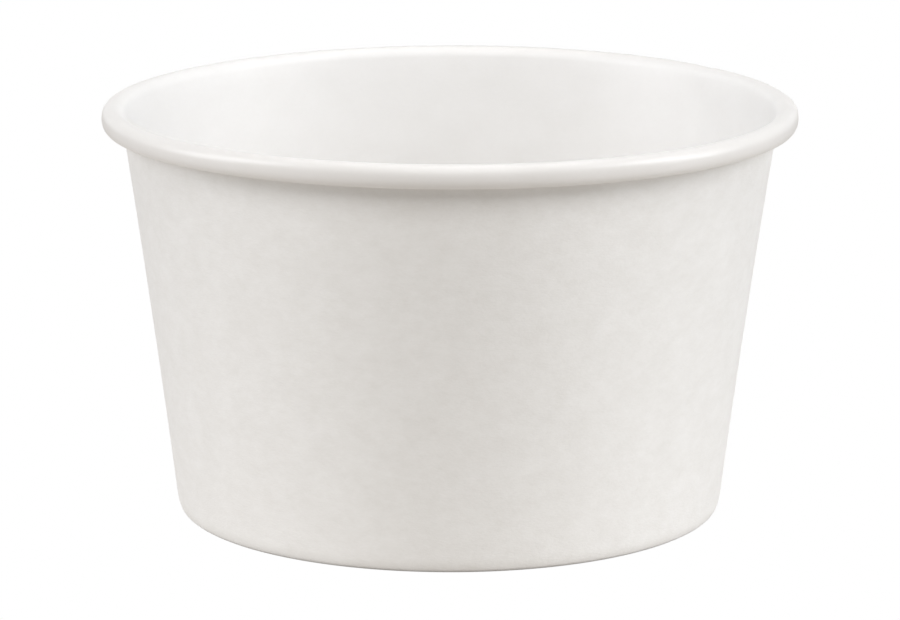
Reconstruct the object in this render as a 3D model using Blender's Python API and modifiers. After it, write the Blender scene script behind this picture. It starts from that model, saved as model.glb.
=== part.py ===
"""Paper sundae cup: a sidewall wrapped from one sheet of board, and a round bottom with a turned-down edge.

The cup stands on its foot ring at z = 0, with its axis on Z. Lengths are in metres.
"""

import math

import bmesh
import bpy

COLLECTION = "paper_sundae_cup"

# Driving dimensions of the whole cup
RIM_RADIUS = 0.0480
CUP_HEIGHT = 0.0570
FOOT_RADIUS = 0.0378
BOARD = 0.00042
CLEARANCE = 0.0002

# Rolled rim
BEAD_DIAMETER = 0.0032
CURL_END_ANGLE = math.radians(-140)
CURL_TUCK = 0.0006
CURL_TUCK_START_SHARE = 0.76
BEAD_LAP_SHARE = 0.3
LAP_FADE_LENGTH = 0.0015

# Wall: it bows in a little at mid-height, and turns in at the foot
WALL_BOW = 0.0002
TOE_IN = 0.0005
TOE_RISE = 0.0016

# Foot: the wall's lower edge is folded in and up round the bottom's flange, with a soft outer bend
FOLD_RADIUS = 0.00075
FOOT_LAND = 0.0003
HEM_TOP_GAP = 0.0004

# Bottom disc
RECESS_HEIGHT = 0.0054
DISC_BEND_RADIUS = 0.0007

# Lap seam, measured round the wall
LAP_WIDTH = 0.0070
LAP_EASE_LENGTH = 0.0050
FLAP_EDGE_RUN = 0.0001
LAP_AZIMUTH = math.radians(26)

# Fineness of the faceted surfaces
STEPS_ROUND = 72
EASE_STEPS = 3
CURL_STEPS = 12
FOLD_STEPS = 3
LEAN_PASSES = 4
WALL_STEPS = 5
BEND_STEPS = 3
TOE_SHARES = (0.25, 0.6, 1.0)
HEM_SHARES = (1.0, 0.45, 0.15)
FLANGE_SHARES = (0.6, 0.3)
MERGE_SHARE = 0.01
SMOOTH_ANGLE = math.radians(40)

# Sizes worked out from the ones above
CURL_RADIUS = (BEAD_DIAMETER - BOARD) / 2
BEAD_RADIUS_FROM_AXIS = RIM_RADIUS - BEAD_DIAMETER / 2
BEAD_CENTRE_HEIGHT = CUP_HEIGHT - BEAD_DIAMETER / 2
WALL_TOP_RADIUS = BEAD_RADIUS_FROM_AXIS - CURL_RADIUS
WALL_FOOT_RADIUS = FOOT_RADIUS - BOARD / 2
LAYER_PITCH = BOARD + CLEARANCE
FOLD_HEIGHT = FOLD_RADIUS + BOARD / 2
TOE_TOP = FOLD_HEIGHT + TOE_RISE
HEM_TOP = RECESS_HEIGHT - (DISC_BEND_RADIUS - BOARD / 2) - HEM_TOP_GAP
LAP_MEAN_RADIUS = (WALL_TOP_RADIUS + WALL_FOOT_RADIUS) / 2


def smooth_share(share):
    """Eases from 0 to 1 with level ends."""
    share = min(max(share, 0.0), 1.0)
    return share * share * (3 - 2 * share)


def wall_line(height):
    """Radius and slope of the middle of the wall's board at a height."""
    share = height / BEAD_CENTRE_HEIGHT
    spread = WALL_TOP_RADIUS - WALL_FOOT_RADIUS
    toe = max(0.0, 1 - height / TOE_TOP)
    radius = WALL_FOOT_RADIUS + spread * share - 4 * WALL_BOW * share * (1 - share) - TOE_IN * toe**3
    slope = (spread - 4 * WALL_BOW * (1 - 2 * share)) / BEAD_CENTRE_HEIGHT + 3 * TOE_IN * toe**2 / TOE_TOP
    return radius, slope


def layer_point(height, depth, facing):
    """A point on the board layer that lies depth inside the wall's middle, with its face normal."""
    radius, slope = wall_line(height)
    length = math.hypot(1.0, slope)
    out_r, out_z = 1.0 / length, -slope / length
    return radius - depth * out_r, height - depth * out_z, facing * out_r, facing * out_z


def round_point(centre, radius, angle, facing):
    """A point on a circle, with the normal that points away from its centre, or to it where facing is -1."""
    out_r, out_z = math.cos(angle), math.sin(angle)
    return centre[0] + radius * out_r, centre[1] + radius * out_z, facing * out_r, facing * out_z


def arc_points(centre, radius, start, stop, steps, facing):
    """Points on an arc, each with its normal."""
    angles = [start + (stop - start) * step / steps for step in range(steps + 1)]
    return [round_point(centre, radius, angle, facing) for angle in angles]


def curl_points(lean):
    """The rolled rim's points. Its last stretch winds in, so the board's edge is tucked under the bead."""
    centre = (BEAD_RADIUS_FROM_AXIS, BEAD_CENTRE_HEIGHT)
    start = math.pi - lean
    points = []
    for step in range(CURL_STEPS + 1):
        share = step / CURL_STEPS
        angle = start + (CURL_END_ANGLE - start) * share
        tuck = smooth_share((share - CURL_TUCK_START_SHARE) / (1 - CURL_TUCK_START_SHARE))
        points.append(round_point(centre, CURL_RADIUS - CURL_TUCK * tuck, angle, -1))
    return points


def fold_lean():
    """Lean of the wall at the height where the fold's outer bend starts. That height depends on the lean."""
    lean = 0.0
    for _ in range(LEAN_PASSES):
        lean = math.atan(wall_line(FOLD_HEIGHT - FOLD_RADIUS * math.sin(lean))[1])
    return lean


def fold_bends():
    """Lean of the fold, radius of its inner bend, and centres of its inner and its outer bend."""
    lean = fold_lean()
    cosine, sine = math.cos(lean), math.sin(lean)
    inner_radius = (2 * LAYER_PITCH - FOOT_LAND * cosine - FOLD_RADIUS * (1 - sine)) / (1 + sine)
    outer_r = wall_line(FOLD_HEIGHT - FOLD_RADIUS * sine)[0] - FOLD_RADIUS * cosine
    return lean, inner_radius, (outer_r - FOOT_LAND, inner_radius + BOARD / 2), (outer_r, FOLD_HEIGHT)


def board_path():
    """Middle of the sidewall's board, from the hem's top to the curl's end.

    Each point has its radius, its height, its face normal and the share of the lap's lift that it takes.
    """
    lean, inner_radius, inner_centre, outer_centre = fold_bends()
    down = -math.pi / 2

    hem_heights = [FOLD_HEIGHT + (HEM_TOP - FOLD_HEIGHT) * share for share in HEM_SHARES]
    hem = [layer_point(height, 2 * LAYER_PITCH, -1) for height in hem_heights]
    fold = arc_points(inner_centre, inner_radius, -math.pi - lean, down, FOLD_STEPS, 1)
    fold += arc_points(outer_centre, FOLD_RADIUS, down, -lean, FOLD_STEPS, 1)
    path = [(*point, 0.0) for point in hem + fold]

    top_lean = math.atan(wall_line(BEAD_CENTRE_HEIGHT)[1])
    wall_top = BEAD_CENTRE_HEIGHT - LAP_FADE_LENGTH
    heights = [FOLD_HEIGHT + TOE_RISE * share for share in TOE_SHARES]
    heights += [TOE_TOP + (wall_top - TOE_TOP) * step / WALL_STEPS for step in range(1, WALL_STEPS + 1)]
    for height in heights:
        path.append((*layer_point(height, 0.0, 1), smooth_share((height - FOLD_HEIGHT) / TOE_RISE)))
    path += [(*point, BEAD_LAP_SHARE) for point in curl_points(top_lean)]
    return path


def lap_stations():
    """Stations round the wall: azimuth from the outer flap's edge, then the inner and the outer face's lift.

    The inner flap ends at the lap's far side, where the outer layer eases down to the plain wall.
    """
    lap, ease, edge = (size / LAP_MEAN_RADIUS for size in (LAP_WIDTH, LAP_EASE_LENGTH, FLAP_EDGE_RUN))
    stations = [(0.0, 0.0, 1.0), (lap / 2, 0.0, 1.0), (lap, 0.0, 1.0)]
    for step in range(EASE_STEPS + 1):
        share = step / EASE_STEPS
        lift = 1 - smooth_share(share)
        stations.append((lap + edge + ease * share, lift, lift))
    eased = lap + edge + ease
    plain = 2 * math.pi - edge - eased
    count = max(1, round(STEPS_ROUND * plain / (2 * math.pi)))
    stations += [(eased + plain * step / count, 0.0, 0.0) for step in range(1, count + 1)]
    return stations


def board_section(path, inner_lift, outer_lift):
    """Closed outline of the board along its path: down one face and back along the other."""
    inner, outer = [], []
    for r, z, normal_r, normal_z, lap_share in path:
        back = BOARD / 2 - BOARD * inner_lift * lap_share
        front = BOARD / 2 + BOARD * outer_lift * lap_share
        inner.append((r - back * normal_r, z - back * normal_z))
        outer.append((r + front * normal_r, z + front * normal_z))
    return inner + outer[::-1]


def paper(name, colour, roughness):
    """A matte paperboard finish."""
    material = bpy.data.materials.new(name)
    material.use_nodes = True
    shader = material.node_tree.nodes["Principled BSDF"]
    shader.inputs["Base Color"].default_value = (*colour, 1.0)
    shader.inputs["Roughness"].default_value = roughness
    shader.inputs["Metallic"].default_value = 0.0
    material.diffuse_color = (*colour, 1.0)
    return material


def add_piece(name, mesh, material, collection, parent):
    """One sub-part as an object of its own under the cup's empty."""
    piece = bpy.data.objects.new(name, mesh)
    mesh.materials.append(material)
    collection.objects.link(piece)
    piece.parent = parent
    return piece


def make_sidewall(collection, parent):
    """The wrapped sheet, lofted round the axis because the lap makes its sections differ."""
    path = board_path()
    mesh = bpy.data.meshes.new("sidewall")
    build = bmesh.new()
    rings = []
    for azimuth, inner_lift, outer_lift in lap_stations():
        cosine, sine = math.cos(LAP_AZIMUTH + azimuth), math.sin(LAP_AZIMUTH + azimuth)
        section = board_section(path, inner_lift, outer_lift)
        rings.append([build.verts.new((r * cosine, r * sine, z)) for r, z in section])
    for ring, following in zip(rings, rings[1:] + rings[:1]):
        count = len(ring)
        for i in range(count):
            j = (i + 1) % count
            build.faces.new((ring[i], following[i], following[j], ring[j]))
    bmesh.ops.recalc_face_normals(build, faces=build.faces)
    build.to_mesh(mesh)
    build.free()
    mesh.shade_smooth()
    mesh.set_sharp_from_angle(angle=SMOOTH_ANGLE)
    return add_piece("sidewall", mesh, paper("sidewall_board", (0.83, 0.82, 0.80), 0.7), collection, parent)


def disc_outline():
    """Outline of the bottom at +X, from the axis over its top, down its flange and back underneath."""
    middle = RECESS_HEIGHT + BOARD / 2
    centre_height = middle - DISC_BEND_RADIUS
    lean = math.atan(wall_line(centre_height)[1])
    bend_end = centre_height - DISC_BEND_RADIUS * math.sin(lean)
    bend_r = layer_point(bend_end, LAYER_PITCH, -1)[0] - DISC_BEND_RADIUS * math.cos(lean)
    bend = arc_points((bend_r, centre_height), DISC_BEND_RADIUS, math.pi / 2, -lean, BEND_STEPS, -1)
    flange_end = FOLD_HEIGHT + CLEARANCE
    heights = [flange_end + (bend_end - flange_end) * share for share in FLANGE_SHARES] + [flange_end]
    path = [(0.0, middle, 0.0, -1.0)] + bend + [layer_point(height, LAYER_PITCH, -1) for height in heights]
    return board_section([(*point, 0.0) for point in path], 0.0, 0.0)


def make_bottom_disc(collection, parent):
    """The round sheet with its edge turned down, as a turned profile."""
    outline = disc_outline()
    mesh = bpy.data.meshes.new("bottom_disc")
    edges = [(i, i + 1) for i in range(len(outline) - 1)]
    mesh.from_pydata([(r, 0.0, z) for r, z in outline], edges, [])
    piece = add_piece("bottom_disc", mesh, paper("bottom_board", (0.85, 0.84, 0.82), 0.6), collection, parent)
    turn = piece.modifiers.new("Turn", "SCREW")
    turn.axis = "Z"
    turn.angle = 2 * math.pi
    turn.steps = STEPS_ROUND
    turn.render_steps = STEPS_ROUND
    turn.use_merge_vertices = True
    turn.merge_threshold = BOARD * MERGE_SHARE
    turn.use_normal_calculate = True
    turn.use_smooth_shade = True
    return piece


def main():
    for item in list(bpy.data.objects):
        bpy.data.objects.remove(item, do_unlink=True)
    collection = bpy.data.collections.new(COLLECTION)
    bpy.context.scene.collection.children.link(collection)
    cup = bpy.data.objects.new("cup_axis", None)
    collection.objects.link(cup)
    make_sidewall(collection, cup)
    make_bottom_disc(collection, cup)


main()
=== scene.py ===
"""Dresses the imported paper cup: rolled board, paper finishes, a plain studio and its camera."""

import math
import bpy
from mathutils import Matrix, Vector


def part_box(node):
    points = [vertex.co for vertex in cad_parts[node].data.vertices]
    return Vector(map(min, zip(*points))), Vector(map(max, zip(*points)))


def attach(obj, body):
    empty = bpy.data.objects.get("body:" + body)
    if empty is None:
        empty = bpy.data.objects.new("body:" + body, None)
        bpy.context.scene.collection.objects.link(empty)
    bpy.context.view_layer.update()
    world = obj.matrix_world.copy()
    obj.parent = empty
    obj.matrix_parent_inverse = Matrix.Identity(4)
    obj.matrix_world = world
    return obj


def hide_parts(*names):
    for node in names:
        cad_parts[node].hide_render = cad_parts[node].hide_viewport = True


bl_info = {
    "name": "Paper Sundae Cup",
    "version": (1, 0, 0),
    "blender": (4, 5, 0),
    "location": "View3D > Sidebar > Paper Cup",
    "description": "Rolls the cup's sidewall, presses its bottom and sets up a plain studio",
    "category": "Object",
}

import bmesh
import bpy
from bpy.props import FloatProperty, FloatVectorProperty, IntProperty, PointerProperty
from mathutils import Quaternion, Vector

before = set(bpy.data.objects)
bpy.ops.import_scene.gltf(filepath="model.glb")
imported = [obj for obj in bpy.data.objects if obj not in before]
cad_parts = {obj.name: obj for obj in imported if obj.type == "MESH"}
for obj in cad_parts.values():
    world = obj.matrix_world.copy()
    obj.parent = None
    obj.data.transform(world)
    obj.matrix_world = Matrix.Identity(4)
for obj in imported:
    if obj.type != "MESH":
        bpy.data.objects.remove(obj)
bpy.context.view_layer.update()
WALL_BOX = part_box("sidewall")
DISC_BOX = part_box("bottom_disc")

PHOTO_WIDTH = 900
SENSOR_WIDTH = 36.0
BOARD_THICKNESS = 0.00042

# Stations round the cup, and rows along each stretch of a section
STATIONS = 600
DISC_STATIONS = 360
HEM_ROWS = 5
FOLD_ROWS = 6
TOE_ROWS = 5
WALL_ROWS = 18
CURL_ROWS = 26
DISC_ROWS = 16
BEND_ROWS = 8
FLANGE_ROWS = 4
SMOOTH_ANGLE = math.radians(38)

# Share of the height from fold to hem top at which the hem's straight stretch starts
HEM_START = 0.15
# Rounds that settle the lean of the folded foot
LEAN_ROUNDS = 4

# Slow unevenness of a rolled sheet: lobes round the cup, each one's share and phase
ROUND_LOBES = ((1, 0.72, 0.0), (3, 1.0, 2.1))
RIPPLE_LOBES = ((7, 0.4, 0.9), (11, 0.3, 3.3), (17, 0.3, 5.2))
# How far the ripples' phase turns from the foot to the rim
RIPPLE_TURN = 4

# Each piece's material slots: bare face, coated face and cut edge
BARE, COATED, CUT = range(3)

# Noises in the finishes: scale along X, Y and Z, detail and roughness
BOARD_CLOUD = ((240, 240, 280), 3.0, 0.55)
BOARD_STREAK = ((560, 560, 1000), 4.0, 0.6)
BOARD_FIBRE = ((1800, 1800, 4500), 3.0, 0.6)
FILM_CLOUD = ((180, 180, 240), 3.0, 0.5)
FILM_GRAIN = ((1400, 1400, 2200), 3.0, 0.55)
EDGE_PLIES = ((900, 900, 9000), 4.0, 0.65)

# How much the finer noises add to the coarser ones in a finish's tone or relief
STREAK_TONE = 0.9
FIBRE_TONE = 0.6
FIBRE_RELIEF = 0.9
GRAIN_TONE = 0.4

# Lowest and highest tone of each finish, and of the streaks that vary its roughness
BOARD_TONES = (0.9, 1.6)
FILM_TONES = (0.4, 1.0)
EDGE_TONES = (0.3, 0.7)
STREAK_TONES = (0.3, 0.7)

# How far red, green and blue fall at the lowest tone and rise at the highest
TONE_FALL = (0.9, 1.0, 1.2)
TONE_RISE = (0.5, 0.5, 0.5)

# Share of the board's unevenness in the coated face, and strength of it in a cut edge
FILM_CLOUDING = 0.5
EDGE_CLOUDING = 0.08

BOARD_ROUGHNESS_SPREAD = 0.05
FILM_ROUGHNESS_SPREAD = 0.06
EDGE_ROUGHNESS = 0.95
BOARD_SPECULAR = 0.1
FILM_SPECULAR = 0.5
EDGE_SPECULAR = 0.2
EDGE_RELIEF = 0.00003

# Share of the bead's thickness, inside its middle, over which the painted shade on the bead sets in
PAINTED_SHADE_REACH = 0.4

# Detail of the stage pieces, and how far the camera sees, in radii of the surround
FLOOR_SIDES = 96
SURROUND_SEGMENTS = 48
SURROUND_RINGS = 24
SIGHT = 4
# Share of the contact ring's radius at which the glow under the cup starts to fade
UNDER_REACH = 0.9

# Soft lights: azimuth from the camera towards +X, elevation, distance, width, height, power, colour
LIGHTS = {
    "front_softbox": (0, 46, 1.1, 0.5, 0.55, 5.0, (1.0, 0.99, 0.98)),
    "near_right_softbox": (74, 34, 1.1, 0.5, 0.5, 4.7, (0.93, 0.955, 1.0)),
    "near_left_softbox": (-74, 34, 1.1, 0.5, 0.5, 3.9, (0.935, 0.96, 1.0)),
    "right_softbox": (84, 14, 1.1, 0.5, 0.45, 3.35, (0.93, 0.962, 1.0)),
    "left_softbox": (-84, 14, 1.1, 0.5, 0.4, 2.85, (0.952, 0.964, 1.0)),
    "back_softbox": (180, 55, 1.1, 0.5, 0.25, 0.8, (1.0, 0.97, 0.95)),
    "top_softbox": (0, 90, 1.2, 0.8, 0.8, 3.4, (1.0, 0.98, 0.96)),
}

# Diffused so far that they leave no shine on the bead
MATT_LIGHTS = {"front_softbox"}


def widest(node):
    """Largest distance of a node's points from the cup's axis."""
    return max(math.hypot(v.co.x, v.co.y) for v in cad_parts[node].data.vertices)


def length(name, description, default, low=0.0):
    """A length, in metres."""
    return FloatProperty(name=name, description=description, default=default, min=low,
                         unit="LENGTH", precision=5)


def share(name, description, default):
    """A share from 0 to 1."""
    return FloatProperty(name=name, description=description, default=default, min=0.0, max=1.0,
                         subtype="FACTOR")


def colour(name, description, default):
    """A finish's colour."""
    return FloatVectorProperty(name=name, description=description, default=default, min=0, max=1,
                               subtype="COLOR")


def angle(name, description, degrees):
    """An angle, given here in degrees."""
    return FloatProperty(name=name, description=description, default=math.radians(degrees),
                         subtype="ANGLE")


def number(name, description, default, low=0.0):
    """A plain number."""
    return FloatProperty(name=name, description=description, default=default, min=low)


class CupBoard(bpy.types.PropertyGroup):
    rim_radius: length("Rim radius", "Outer radius of the rolled rim", round(widest("sidewall"), 4))
    cup_height: length("Cup height", "From the table to the rim's top", round(WALL_BOX[1].z, 4))
    foot_radius: length("Foot radius", "Outer radius of the wall, run down to the table", 0.0378)
    board: length("Board", "Thickness of the paperboard", BOARD_THICKNESS)
    seal_gap: length("Seal gap", "Hairline between the sealed layers in the foot", 0.00012)
    bead_diameter: length("Bead", "Thickness of the rolled rim", 0.0032)
    bead_press: share("Bead press", "Share of the bead's outer half left once pressed", 0.955)
    bead_square: number("Bead square", "How square the pressed bead is: 2 is round", 2.6, 2.0)
    curl_end: angle("Curl end", "Where the rim's curl ends, below the horizontal", -150)
    curl_tuck: length("Curl tuck", "How far the curl's end winds in", 0.0007)
    curl_tuck_from: share("Tuck from", "Share of the curl after which it winds in", 0.76)
    wall_bow: length("Wall bow", "How far the wall bows in at mid-height", 0.0002)
    toe_in: length("Toe-in", "How far the wall turns in at the foot", 0.0005)
    toe_rise: length("Toe rise", "Height of the turned-in stretch", 0.0016)
    fold_radius: length("Fold radius", "Outer bend of the folded foot", 0.00075)
    foot_land: length("Foot land", "Width of the flat ring that the cup stands on", 0.0003)
    recess: length("Recess", "Height of the bottom's underside", DISC_BOX[1].z - BOARD_THICKNESS)
    hem_top_gap: length("Hem gap", "Space between the hem's top and the bottom's bend", 0.0003)
    disc_bend: length("Bottom bend", "Bend radius of the bottom's turned-down edge", 0.0007)
    disc_dish: length("Dish", "How far the bottom sags in its middle", 0.00018)
    knurl_depth: length("Knurl depth", "Depth of the presser's marks in the hem", 0.00007)
    knurls: IntProperty(name="Knurls", description="Presser's marks round the hem", default=120,
                        min=1)
    lap_azimuth: angle("Lap azimuth", "Where the outer flap's edge lies", 26)
    lap_width: length("Lap width", "Overlap of the glued seam", 0.0070)
    lap_ease: length("Lap ease", "Length over which the outer layer settles", 0.0050)
    lap_fade: length("Lap fade", "Height under the bead where the lap is pressed thinner", 0.0015)
    flap_edge: length("Flap edge", "Slope of the flap's cut edge along the wall", 0.00004)
    bead_lap: share("Bead lap", "Share of the lap's thickness left in the bead", 0.3)
    out_of_round: length("Out of round", "How far the rim strays from a circle", 0.00032)
    rim_tilt: length("Rim tilt", "How far the rim's plane rises towards +X", 0.00011)
    ripple: length("Ripple", "Depth of the wall's slow ripples", 0.00003)


class CupPaper(bpy.types.PropertyGroup):
    outside: colour("Outside", "Bare board outside", (0.851, 0.842, 0.821))
    inside: colour("Inside", "Coated face inside and on the bead", (0.860, 0.847, 0.829))
    # Painted shade: a darker tone multiplied over the bead's coating, standing in for the bead's
    # shading
    painted_rim_shade: colour("Rim tint", "Tint of the coating where it is stretched over the bead",
                     (0.916, 0.908, 0.897))
    edge: colour("Cut edge", "Raw fibre at the cut edges", (0.74, 0.715, 0.67))
    cloud: share("Cloud", "Strength of the board's uneven whiteness", 0.045)
    outside_roughness: share("Outside roughness", "Roughness of the bare board", 0.78)
    inside_roughness: share("Inside roughness", "Roughness of the coated face", 0.42)
    rim_roughness: share("Rim roughness", "Roughness of the bead, burnished by its tool", 0.3)
    fibre_depth: length("Fibre depth", "Relief of the fibres in the bare face", 0.00003)
    film_depth: length("Film depth", "Relief of the coated face", 0.000008)


class CupStudio(bpy.types.PropertyGroup):
    camera_distance: length("Distance", "From the camera to the cup's axis", 0.6649)
    camera_pitch: angle("Pitch", "How far the camera looks down", 12.637)
    camera_roll: angle("Roll", "How far the camera leans to its left", 0.097)
    aim_height: length("Aim height", "Height on the axis that the camera looks at", 0.02749)
    aim_side: length("Aim side", "How far beside the axis the camera looks", 0.00011, -1.0)
    focal_pixels: number("Focal length", "In pixels of the photograph", 4771.0)
    floor_radius: length("Floor radius", "Radius of the pale floor", 3.0)
    backdrop_radius: length("Backdrop radius", "Radius of the white surround", 8.0)
    # The floor's glow is painted bounce light, with a painted pool of light round the cup and a
    # painted contact shadow where it touches
    floor_glow: number("Floor glow", "Light that the floor sends up", 0.55)
    floor_pool: number("Floor pool", "Extra glow of the floor round the cup", 0.27)
    pool_radius: length("Pool radius", "How far the extra glow reaches", 0.25)
    under_glow: number("Under glow", "Glow of the floor under the cup", 0.6)
    contact_fade: length("Contact fade", "Width of the ring in which the glow grows", 0.0017)
    floor_tint: colour("Floor tint", "Colour of the floor's glow", (1.0, 0.947, 0.896))
    world_light: number("Fill", "Strength of an even fill light", 0.0)


def smooth_share(value):
    """Eases from 0 to 1 with level ends."""
    value = min(max(value, 0.0), 1.0)
    return value * value * (3 - 2 * value)


def steps(start, stop, count):
    """count + 1 values from start to stop."""
    return [start + (stop - start) * step / count for step in range(count + 1)]


def lobe_sum(lobes, turn, shift=0.0):
    """Sum of waves round the cup at an azimuth."""
    return sum(part * math.cos(count * turn + phase + shift) for count, part, phase in lobes)


class Layers:
    """The lines that the cup's board follows in its section, worked out from its sizes."""

    def __init__(self, size):
        self.size = size
        self.curl_radius = (size.bead_diameter - size.board) / 2
        self.bead_r = size.rim_radius - size.bead_diameter / 2
        self.bead_z = size.cup_height - size.bead_diameter / 2
        self.top_r = self.bead_r - self.curl_radius
        self.foot_r = size.foot_radius - size.board / 2
        self.pitch = size.board + size.seal_gap
        self.fold_z = size.fold_radius + size.board / 2
        self.toe_top = self.fold_z + size.toe_rise
        self.hem_top = size.recess - (size.disc_bend - size.board / 2) - size.hem_top_gap

    def wall(self, z):
        """Radius and slope of the middle of the wall's board."""
        size, up = self.size, z / self.bead_z
        spread = self.top_r - self.foot_r
        toe = max(0.0, 1 - z / self.toe_top)
        straight = self.foot_r + spread * up
        radius = straight - 4 * size.wall_bow * up * (1 - up) - size.toe_in * toe**3
        slope = (spread - 4 * size.wall_bow * (1 - 2 * up)) / self.bead_z
        return radius, slope + 3 * size.toe_in * toe**2 / self.toe_top

    def layer(self, z, depth, facing):
        """A point depth inside the wall's middle, with its face normal."""
        radius, slope = self.wall(z)
        norm = math.hypot(1.0, slope)
        r, z = radius - depth / norm, z + depth * slope / norm
        return r, z, facing / norm, -facing * slope / norm

    def fold(self):
        """Lean of the folded foot, radius of its inner bend, and centres of both bends."""
        size, lean = self.size, 0.0
        for _ in range(LEAN_ROUNDS):
            lean = math.atan(self.wall(self.fold_z - size.fold_radius * math.sin(lean))[1])
        cosine, sine = math.cos(lean), math.sin(lean)
        land = size.foot_land * cosine + size.fold_radius * (1 - sine)
        inner = (2 * self.pitch - land) / (1 + sine)
        outer_r = self.wall(self.fold_z - size.fold_radius * sine)[0] - size.fold_radius * cosine
        inner_centre = (outer_r - size.foot_land, inner + size.board / 2)
        return lean, inner, inner_centre, (outer_r, self.fold_z)


def on_circle(centre, radius, turn, facing):
    """A point on a circle, with the normal away from its centre, or to it where facing is -1."""
    out_r, out_z = math.cos(turn), math.sin(turn)
    return centre[0] + radius * out_r, centre[1] + radius * out_z, facing * out_r, facing * out_z


def on_bead(size, centre, radius, turn):
    """A point of the rim's curl, its outer half pressed flatter, with the normal to its inside."""
    if math.cos(turn) <= 0.0:
        return on_circle(centre, radius, turn, -1)
    wide, power = size.bead_press, size.bead_square
    across, up = math.cos(turn) / wide, abs(math.sin(turn))
    reach = radius / (across**power + up**power) ** (1 / power)
    lean_r, lean_z = across ** (power - 1) / wide, math.copysign(up ** (power - 1), math.sin(turn))
    norm = math.hypot(lean_r, lean_z)
    r, z = centre[0] + reach * math.cos(turn), centre[1] + reach * math.sin(turn)
    return r, z, -lean_r / norm, -lean_z / norm


def sidewall_path(size):
    """The sheet from hem top to curl end: radius, height, normal, lap share and knurl share."""
    layers = Layers(size)
    lean, inner_radius, inner, outer = layers.fold()
    path = []
    hem_rise = layers.hem_top - layers.fold_z
    for z in steps(layers.hem_top, layers.fold_z + HEM_START * hem_rise, HEM_ROWS):
        up = (z - layers.fold_z) / hem_rise
        path.append((*layers.layer(z, 2 * layers.pitch, -1), 0.0, smooth_share(4 * up * (1 - up))))
    for turn in steps(-math.pi - lean, -math.pi / 2, FOLD_ROWS):
        path.append((*on_circle(inner, inner_radius, turn, 1), 0.0, 0.0))
    for turn in steps(-math.pi / 2, -lean, FOLD_ROWS):
        path.append((*on_circle(outer, size.fold_radius, turn, 1), 0.0, 0.0))
    wall_top = layers.bead_z - size.lap_fade
    toe = steps(layers.fold_z, layers.toe_top, TOE_ROWS)[1:]
    for z in toe + steps(layers.toe_top, wall_top, WALL_ROWS)[1:]:
        lap_part = smooth_share((z - layers.fold_z) / size.toe_rise)
        path.append((*layers.layer(z, 0.0, 1), lap_part, 0.0))
    start = math.pi - math.atan(layers.wall(layers.bead_z)[1])
    for step, turn in enumerate(steps(start, size.curl_end, CURL_ROWS)):
        tuck = smooth_share((step / CURL_ROWS - size.curl_tuck_from) / (1 - size.curl_tuck_from))
        curl = layers.curl_radius - size.curl_tuck * tuck
        bead = on_bead(size, (layers.bead_r, layers.bead_z), curl, turn)
        path.append((*bead, size.bead_lap, 0.0))
    return path


def lap_stations(size):
    """Azimuth from the outer flap's edge, inner lift and outer lift of each station."""
    mean = (size.rim_radius + size.foot_radius) / 2
    lap, ease, edge = size.lap_width / mean, size.lap_ease / mean, size.flap_edge / mean
    pitch = 2 * math.pi / STATIONS
    stations = [(turn, 0.0, 1.0) for turn in steps(0.0, lap, math.ceil(lap / pitch))]
    for turn in steps(0.0, ease, math.ceil(ease / pitch)):
        lift = 1 - smooth_share(turn / ease)
        stations.append((lap + edge + turn, lift, lift))
    start = lap + edge + ease
    stop = 2 * math.pi - edge
    plain = steps(start, stop, round((stop - start) / pitch))[1:]
    return stations + [(turn, 0.0, 0.0) for turn in plain]


def uneven(size, turn, up):
    """How far the wall strays outwards at an azimuth and a share of its height."""
    rounded = size.out_of_round * lobe_sum(ROUND_LOBES, turn) * up**2
    rippled = size.ripple * lobe_sum(RIPPLE_LOBES, turn, RIPPLE_TURN * up)
    return rounded + rippled * smooth_share(4 * up * (1 - up))


def station_points(size, path, turn, inner_lift, outer_lift):
    """The sheet's section at one station, up its inner face and back down its outer one."""
    at = size.lap_azimuth + turn
    ridge = size.knurl_depth * (math.cos(size.knurls * turn) - 1) / 2
    section = []
    for side in (-1, 1):
        face = []
        for r, z, normal_r, normal_z, lap_part, knurl_part in path:
            if side > 0:
                off = size.board * (0.5 + outer_lift * lap_part) + ridge * knurl_part
            else:
                off = size.board * (inner_lift * lap_part - 0.5)
            up = z / size.cup_height
            rise = size.rim_tilt * math.cos(at) * up
            face.append((r + off * normal_r + uneven(size, at, up), z + off * normal_z + rise))
        section += face if side < 0 else face[::-1]
    return [(r * math.cos(at), r * math.sin(at), z) for r, z in section]


def sidewall_mesh(size):
    """The wrapped sheet as a loft of its section, with its faces sorted by finish."""
    path, stations = sidewall_path(size), lap_stations(size)
    points = [point for station in stations for point in station_points(size, path, *station)]
    faces, finishes = [], []
    rows, count = len(path), len(stations)
    around = 2 * rows
    for i in range(count):
        follow = (i + 1) % count
        outer_cut = follow == 0
        inner_cut = stations[i][1] == 0.0 and stations[follow][1] == 1.0
        for j in range(around):
            k = (j + 1) % around
            here, there = i * around, follow * around
            faces.append((here + j, there + j, there + k, here + k))
            sheet_end = j in (rows - 1, around - 1)
            if sheet_end or (inner_cut and j < rows) or (outer_cut and j >= rows):
                finishes.append(CUT)
            else:
                finishes.append(COATED if j < rows else BARE)
    return closed_mesh("wrapped_sidewall", points, faces, finishes)


def closed_mesh(name, points, faces, finishes):
    """A mesh of those faces, turned outwards, smooth but for its sharp edges."""
    mesh = bpy.data.meshes.new(name)
    mesh.from_pydata(points, [], faces)
    mesh.polygons.foreach_set("material_index", finishes)
    build = bmesh.new()
    build.from_mesh(mesh)
    bmesh.ops.recalc_face_normals(build, faces=build.faces)
    build.to_mesh(mesh)
    build.free()
    mesh.shade_smooth()
    mesh.set_sharp_from_angle(angle=SMOOTH_ANGLE)
    return mesh


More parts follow.
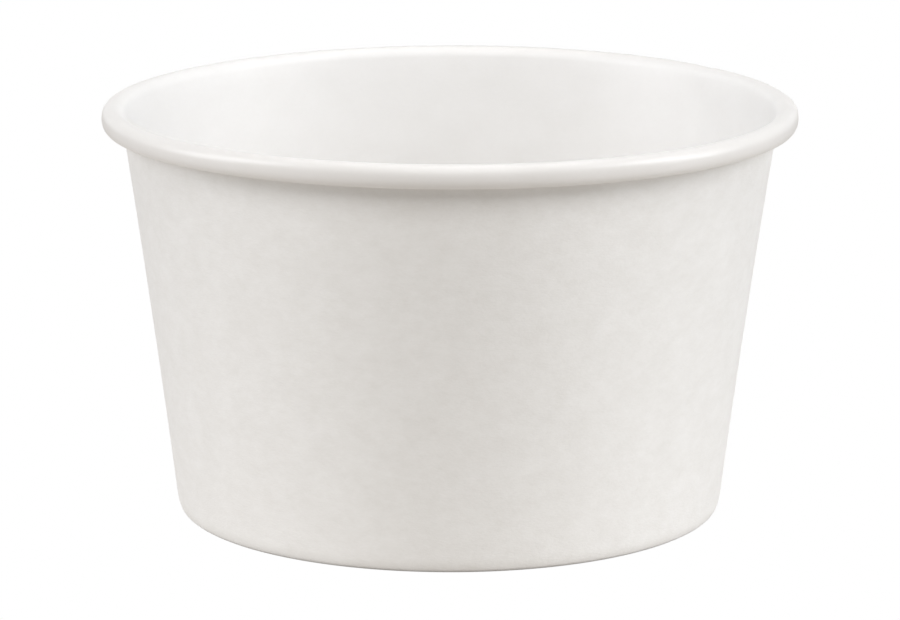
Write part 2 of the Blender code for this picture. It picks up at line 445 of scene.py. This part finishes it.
def disc_path(size):
    """The bottom from near its centre, over its bend and down its flange, as the sheet's path."""
    layers = Layers(size)
    middle = size.recess + size.board / 2
    bend_z = middle - size.disc_bend
    lean = math.atan(layers.wall(bend_z)[1])
    bend_end = bend_z - size.disc_bend * math.sin(lean)
    bend_r = layers.layer(bend_end, layers.pitch, -1)[0] - size.disc_bend * math.cos(lean)
    path = []
    for r in steps(0.0, bend_r, DISC_ROWS)[1:-1]:
        path.append((r, middle - size.disc_dish * (1 - smooth_share(r / bend_r)), 0.0, -1.0))
    for turn in steps(math.pi / 2, -lean, BEND_ROWS):
        path.append(on_circle((bend_r, bend_z), size.disc_bend, turn, -1))
    for z in steps(bend_end, layers.fold_z + size.seal_gap, FLANGE_ROWS)[1:]:
        path.append(layers.layer(z, layers.pitch, -1))
    return path


def disc_mesh(size):
    """The round bottom, turned about the axis, with its faces sorted by finish."""
    path = disc_path(size)
    half = size.board / 2
    outline = [(r - half * nr, z - half * nz) for r, z, nr, nz in path]
    rows = len(outline)
    outline += [(r + half * nr, z + half * nz) for r, z, nr, nz in reversed(path)]
    around = len(outline)
    points = []
    for i in range(DISC_STATIONS):
        at = 2 * math.pi * i / DISC_STATIONS
        points += [(r * math.cos(at), r * math.sin(at), z) for r, z in outline]
    middle = size.recess + half - size.disc_dish
    top, under = len(points), len(points) + 1
    points += [(0.0, 0.0, middle + half), (0.0, 0.0, middle - half)]
    faces, finishes = [], []
    for i in range(DISC_STATIONS):
        here, there = i * around, (i + 1) % DISC_STATIONS * around
        faces.append((top, here, there))
        finishes.append(COATED)
        faces.append((under, there + around - 1, here + around - 1))
        finishes.append(BARE)
        for j in range(around - 1):
            faces.append((here + j, there + j, there + j + 1, here + j + 1))
            if j == rows - 1:
                finishes.append(CUT)
            else:
                finishes.append(COATED if j < rows else BARE)
    return closed_mesh("pressed_bottom", points, faces, finishes)


class Shader:
    """A new material's node tree, with short calls to add and join nodes."""

    def __init__(self, name):
        self.material = bpy.data.materials.new(name)
        self.material.use_nodes = True
        self.tree = self.material.node_tree
        self.principled = self.tree.nodes["Principled BSDF"]

    def add(self, kind, **settings):
        """A new node with those settings."""
        node = self.tree.nodes.new(kind)
        for key, value in settings.items():
            setattr(node, key, value)
        return node

    def join(self, source, target):
        """Links an output to an input."""
        self.tree.links.new(source, target)

    def put(self, socket, value):
        """Sets one of the shader's own sockets."""
        self.principled.inputs[socket].default_value = value

    def noise(self, scale, detail, roughness):
        """Noise in object coordinates, scaled by axis so that it is drawn out round the cup."""
        node = self.add("ShaderNodeTexNoise")
        node.inputs["Scale"].default_value = 1.0
        node.inputs["Detail"].default_value = detail
        node.inputs["Roughness"].default_value = roughness
        mapping = self.add("ShaderNodeMapping")
        mapping.inputs["Scale"].default_value = scale
        self.join(self.add("ShaderNodeTexCoord").outputs["Object"], mapping.inputs["Vector"])
        self.join(mapping.outputs["Vector"], node.inputs["Vector"])
        return node.outputs["Fac"]

    def band(self, value, source, target):
        """Maps a value from one pair of limits to another, and holds it between them."""
        node = self.add("ShaderNodeMapRange")
        for key, limit in zip(("From Min", "From Max", "To Min", "To Max"), (*source, *target)):
            node.inputs[key].default_value = limit
        self.join(value, node.inputs["Value"])
        return node.outputs["Result"]

    def sum_of(self, first, second, part):
        """first plus a share of second."""
        node = self.add("ShaderNodeMath", operation="MULTIPLY_ADD")
        self.join(second, node.inputs[0])
        node.inputs[1].default_value = part
        self.join(first, node.inputs[2])
        return node.outputs["Value"]

    def reach(self):
        """Distance from the cup's axis."""
        flat = self.add("ShaderNodeVectorMath", operation="MULTIPLY")
        flat.inputs[1].default_value = (1.0, 1.0, 0.0)
        self.join(self.add("ShaderNodeTexCoord").outputs["Object"], flat.inputs[0])
        size = self.add("ShaderNodeVectorMath", operation="LENGTH")
        self.join(flat.outputs["Vector"], size.inputs[0])
        return size.outputs["Value"]

    def paint(self, tone, tones, base, strength):
        """Sets the base colour, darker and warmer where the tone is low, and gives it back."""
        mix = self.add("ShaderNodeMix", data_type="RGBA")
        dark = [channel * (1 - strength * part) for channel, part in zip(base, TONE_FALL)]
        light = [channel * (1 + strength * part) for channel, part in zip(base, TONE_RISE)]
        self.join(self.band(tone, tones, (0.0, 1.0)), mix.inputs["Factor"])
        mix.inputs["A"].default_value = (*dark, 1.0)
        mix.inputs["B"].default_value = (*light, 1.0)
        self.join(mix.outputs["Result"], self.principled.inputs["Base Color"])
        return mix.outputs["Result"]

    def relief(self, height, depth):
        """Raises the surface by a height, from 0 to 1, times a depth."""
        node = self.add("ShaderNodeBump")
        node.inputs["Strength"].default_value = 1.0
        node.inputs["Distance"].default_value = depth
        self.join(height, node.inputs["Height"])
        self.join(node.outputs["Normal"], self.principled.inputs["Normal"])


def board_finish(paper):
    """Bare white board: matte, faintly clouded, with fibres drawn out round the cup."""
    made = Shader("bare_board")
    cloud = made.noise(*BOARD_CLOUD)
    streak = made.noise(*BOARD_STREAK)
    fibre = made.noise(*BOARD_FIBRE)
    tone = made.sum_of(made.sum_of(cloud, streak, STREAK_TONE), fibre, FIBRE_TONE)
    made.paint(tone, BOARD_TONES, paper.outside, paper.cloud)
    low = paper.outside_roughness - BOARD_ROUGHNESS_SPREAD
    high = paper.outside_roughness + BOARD_ROUGHNESS_SPREAD
    made.join(made.band(streak, STREAK_TONES, (low, high)), made.principled.inputs["Roughness"])
    made.put("Specular IOR Level", BOARD_SPECULAR)
    made.relief(made.sum_of(streak, fibre, FIBRE_RELIEF), paper.fibre_depth)
    return made.material


def film_finish(paper):
    """Coated board with a soft sheen, burnished where it turns over the bead and darkened there by
    painted shade.
    """
    size = bpy.context.scene.paper_cup_board
    made = Shader("coated_board")
    cloud = made.noise(*FILM_CLOUD)
    grain = made.noise(*FILM_GRAIN)
    clouding = paper.cloud * FILM_CLOUDING
    tone = made.paint(made.sum_of(cloud, grain, GRAIN_TONE), FILM_TONES, paper.inside, clouding)
    # Painted shade: the bead's coating is multiplied by the rim's darker shade tint, fading in from
    # inside the bead's middle
    bead_r = Layers(size).bead_r
    painted_shade_start = bead_r - PAINTED_SHADE_REACH * size.bead_diameter
    on_rim = made.band(made.reach(), (painted_shade_start, bead_r), (0.0, 1.0))
    tint = made.add("ShaderNodeMix", data_type="RGBA", blend_type="MULTIPLY")
    made.join(on_rim, tint.inputs["Factor"])
    made.join(tone, tint.inputs["A"])
    tint.inputs["B"].default_value = (*paper.painted_rim_shade, 1.0)
    made.join(tint.outputs["Result"], made.principled.inputs["Base Color"])
    gloss = made.band(on_rim, (0.0, 1.0), (paper.inside_roughness, paper.rim_roughness))
    roughness = made.sum_of(gloss, cloud, FILM_ROUGHNESS_SPREAD)
    made.join(roughness, made.principled.inputs["Roughness"])
    made.put("Specular IOR Level", FILM_SPECULAR)
    made.relief(grain, paper.film_depth)
    return made.material


def edge_finish(paper):
    """Cut edge: raw fibre in thin plies."""
    made = Shader("cut_edge")
    plies = made.noise(*EDGE_PLIES)
    made.paint(plies, EDGE_TONES, paper.edge, EDGE_CLOUDING)
    made.put("Roughness", EDGE_ROUGHNESS)
    made.put("Specular IOR Level", EDGE_SPECULAR)
    made.relief(plies, EDGE_RELIEF)
    return made.material


# In the order of the material slots
FINISHES = {"bare_board": board_finish, "coated_board": film_finish, "cut_edge": edge_finish}


def dress(mesh, node):
    """A piece that stands for a node of the frame, with the three paper finishes."""
    paper = bpy.context.scene.paper_cup_paper
    for name, maker in FINISHES.items():
        mesh.materials.append(bpy.data.materials.get(name) or maker(paper))
    piece = bpy.data.objects.new(mesh.name, mesh)
    bpy.context.scene.collection.objects.link(piece)
    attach(piece, "root")
    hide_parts(node)


class PAPERCUP_OT_roll_sidewall(bpy.types.Operator):
    """Roll the sidewall's sheet, with its lap seam, rim bead and folded foot"""

    bl_idname = "papercup.roll_sidewall"
    bl_label = "Roll sidewall"

    def execute(self, context):
        dress(sidewall_mesh(context.scene.paper_cup_board), "sidewall")
        return {"FINISHED"}


class PAPERCUP_OT_press_bottom(bpy.types.Operator):
    """Press the round bottom, with its turned-down edge"""

    bl_idname = "papercup.press_bottom"
    bl_label = "Press bottom"

    def execute(self, context):
        dress(disc_mesh(context.scene.paper_cup_board), "bottom_disc")
        return {"FINISHED"}


def direction(azimuth, elevation):
    """Unit vector from the cup to a light or camera at an azimuth and elevation."""
    level = math.cos(elevation)
    return Vector((math.sin(azimuth) * level, -math.cos(azimuth) * level, math.sin(elevation)))


def add_light(name, azimuth, elevation, distance, width, height, power, tint):
    """A rectangular soft light that faces the cup."""
    lamp = bpy.data.lights.new(name, "AREA")
    lamp.shape = "RECTANGLE"
    lamp.size, lamp.size_y, lamp.energy, lamp.color = width, height, power, tint
    light = bpy.data.objects.new(name, lamp)
    towards = direction(math.radians(azimuth), math.radians(elevation))
    light.location = towards * distance
    light.rotation_euler = towards.to_track_quat("Z", "Y").to_euler()
    light.visible_glossy = name not in MATT_LIGHTS
    bpy.context.scene.collection.objects.link(light)


def pale_finish(name, tint, glow):
    """A plain stage finish that glows evenly and reflects nothing."""
    made = Shader(name)
    made.put("Base Color", (0.0, 0.0, 0.0, 1.0))
    made.put("Roughness", 1.0)
    made.put("Specular IOR Level", 0.0)
    made.put("Emission Color", (*tint, 1.0))
    made.put("Emission Strength", glow)
    return made


def floor_finish(studio, contact):
    """The floor's glow, painted bounce light: some under the cup, none where it touches as a
    painted contact shadow, a painted pool of light round it, even beyond.
    """
    made = pale_finish("pale_floor", studio.floor_tint, studio.floor_glow)
    reach = made.reach()
    pool_glow = (studio.floor_glow + studio.floor_pool, studio.floor_glow)
    pool = made.band(reach, (contact, studio.pool_radius), pool_glow)
    fade = made.band(reach, (contact, contact + studio.contact_fade), (0.0, 1.0))
    glow = made.add("ShaderNodeMath", operation="MULTIPLY")
    made.join(pool, glow.inputs[0])
    made.join(fade, glow.inputs[1])
    under = made.band(reach, (UNDER_REACH * contact, contact), (studio.under_glow, 0.0))
    total = made.sum_of(glow.outputs["Value"], under, 1.0)
    made.join(total, made.principled.inputs["Emission Strength"])
    return made


def add_stage_piece(name, build, finish, seen):
    """A stage object that the camera sees, or else one that only sends its light to the cup."""
    mesh = bpy.data.meshes.new(name)
    build.to_mesh(mesh)
    build.free()
    mesh.materials.append(finish.material)
    piece = bpy.data.objects.new(name, mesh)
    bpy.context.scene.collection.objects.link(piece)
    piece.visible_camera = seen
    piece.visible_diffuse = not seen
    piece.visible_shadow = not seen


def add_floor(scene):
    """The pale floor, which glows up at the cup."""
    studio = scene.paper_cup_studio
    floor = bmesh.new()
    bmesh.ops.create_circle(floor, cap_ends=True, radius=studio.floor_radius, segments=FLOOR_SIDES)
    contact = Layers(scene.paper_cup_board).fold()[3][0]
    add_stage_piece("pale_floor", floor, floor_finish(studio, contact), False)


def add_surround(studio):
    """The white surround that the camera sees behind the cup."""
    surround = bmesh.new()
    bmesh.ops.create_uvsphere(surround, u_segments=SURROUND_SEGMENTS, v_segments=SURROUND_RINGS,
                              radius=studio.backdrop_radius)
    white = pale_finish("white_surround", (1.0, 1.0, 1.0), 1.0)
    add_stage_piece("white_surround", surround, white, True)


def add_fill(scene):
    """An even white fill light from all round."""
    world = bpy.data.worlds.new("even_fill")
    world.use_nodes = True
    background = world.node_tree.nodes["Background"]
    background.inputs["Color"].default_value = (1.0, 1.0, 1.0, 1.0)
    background.inputs["Strength"].default_value = scene.paper_cup_studio.world_light
    scene.world = world


def add_camera(scene):
    """The photograph's camera, looking down at the cup."""
    studio = scene.paper_cup_studio
    lens = bpy.data.cameras.new("photo_camera")
    lens.sensor_width = SENSOR_WIDTH
    lens.lens = studio.focal_pixels / PHOTO_WIDTH * SENSOR_WIDTH
    lens.clip_end = SIGHT * studio.backdrop_radius
    camera = bpy.data.objects.new("photo_camera", lens)
    back = direction(0.0, studio.camera_pitch)
    aim = Vector((studio.aim_side, 0.0, studio.aim_height))
    camera.location = aim + back * studio.camera_distance
    roll = Quaternion((0, 0, 1), studio.camera_roll)
    camera.rotation_euler = (back.to_track_quat("Z", "Y") @ roll).to_euler()
    scene.collection.objects.link(camera)
    scene.camera = camera


class PAPERCUP_OT_set_stage(bpy.types.Operator):
    """Lay the pale floor and white surround, and place the soft lights and the camera"""

    bl_idname = "papercup.set_stage"
    bl_label = "Set stage"

    def execute(self, context):
        scene = context.scene
        add_floor(scene)
        add_surround(scene.paper_cup_studio)
        for name, values in LIGHTS.items():
            add_light(name, *values)
        add_fill(scene)
        scene.view_settings.view_transform = "Standard"
        add_camera(scene)
        return {"FINISHED"}


class PAPERCUP_PT_maker(bpy.types.Panel):
    """Lists the cup's sizes, finishes and studio, and the steps that make it"""

    bl_label = "Paper Sundae Cup"
    bl_space_type = "VIEW_3D"
    bl_region_type = "UI"
    bl_category = "Paper Cup"

    def draw(self, context):
        layout = self.layout
        for group in GROUPS:
            values = getattr(context.scene, group)
            for name in values.bl_rna.properties.keys():
                if name not in ("rna_type", "name"):
                    layout.prop(values, name)
        for operator in OPERATORS:
            layout.operator(operator.bl_idname)


GROUPS = {"paper_cup_board": CupBoard, "paper_cup_paper": CupPaper, "paper_cup_studio": CupStudio}
OPERATORS = (PAPERCUP_OT_roll_sidewall, PAPERCUP_OT_press_bottom, PAPERCUP_OT_set_stage)
CLASSES = (*GROUPS.values(), *OPERATORS, PAPERCUP_PT_maker)


def register():
    for made in CLASSES:
        bpy.utils.register_class(made)
    for name, group in GROUPS.items():
        setattr(bpy.types.Scene, name, PointerProperty(type=group))


def unregister():
    for name in GROUPS:
        delattr(bpy.types.Scene, name)
    for made in reversed(CLASSES):
        bpy.utils.unregister_class(made)


def main():
    register()
    bpy.ops.papercup.roll_sidewall()
    bpy.ops.papercup.press_bottom()
    bpy.ops.papercup.set_stage()


if __name__ == "__main__":
    main()
